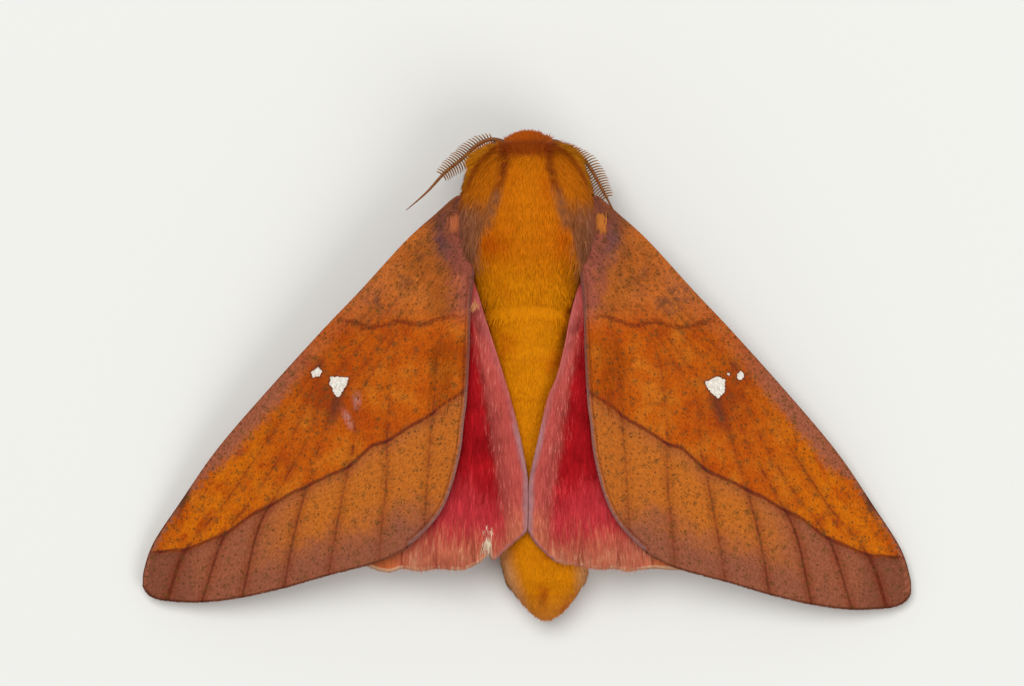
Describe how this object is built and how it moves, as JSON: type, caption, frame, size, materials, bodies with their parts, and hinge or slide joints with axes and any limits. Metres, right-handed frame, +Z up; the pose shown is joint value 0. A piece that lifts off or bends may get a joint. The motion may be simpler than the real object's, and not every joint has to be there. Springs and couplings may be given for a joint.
{
  "type": "moth",
  "caption": "Large furry moth at rest with spread, roof-like wings, feathered antennae and a thick body that ends behind the wings.",
  "frame": {"origin": "middle of the moth's outline in plan, on the plane it stands on", "axes": "+X to the moth's left, -Y towards its head, +Z up"},
  "size_m": [0.0581, 0.0369, 0.0106],
  "materials": {
    "body_fur": "short soft fur, yellow-orange with reddish bands",
    "forewing": "matte scales, orange with dark specks and a brown line",
    "hindwing": "matte scales, crimson to salmon pink",
    "eye": "glossy, finely faceted",
    "antenna": "satin horn",
    "leg": "short fur over horn"
  },
  "bodies": {
    "root": {"abdomen": "body_fur", "antenna_left": "antenna", "antenna_right": "antenna", "eye_left": "eye", "eye_right": "eye", "forewing_left": "forewing", "forewing_right": "forewing", "head": "body_fur", "hindwing_left": "hindwing", "hindwing_right": "hindwing", "leg_front_left": "leg", "leg_front_right": "leg", "leg_hind_left": "leg", "leg_hind_right": "leg", "leg_middle_left": "leg", "leg_middle_right": "leg", "palp_left": "body_fur", "palp_right": "body_fur", "thorax": "body_fur"}
  },
  "joints": []
}
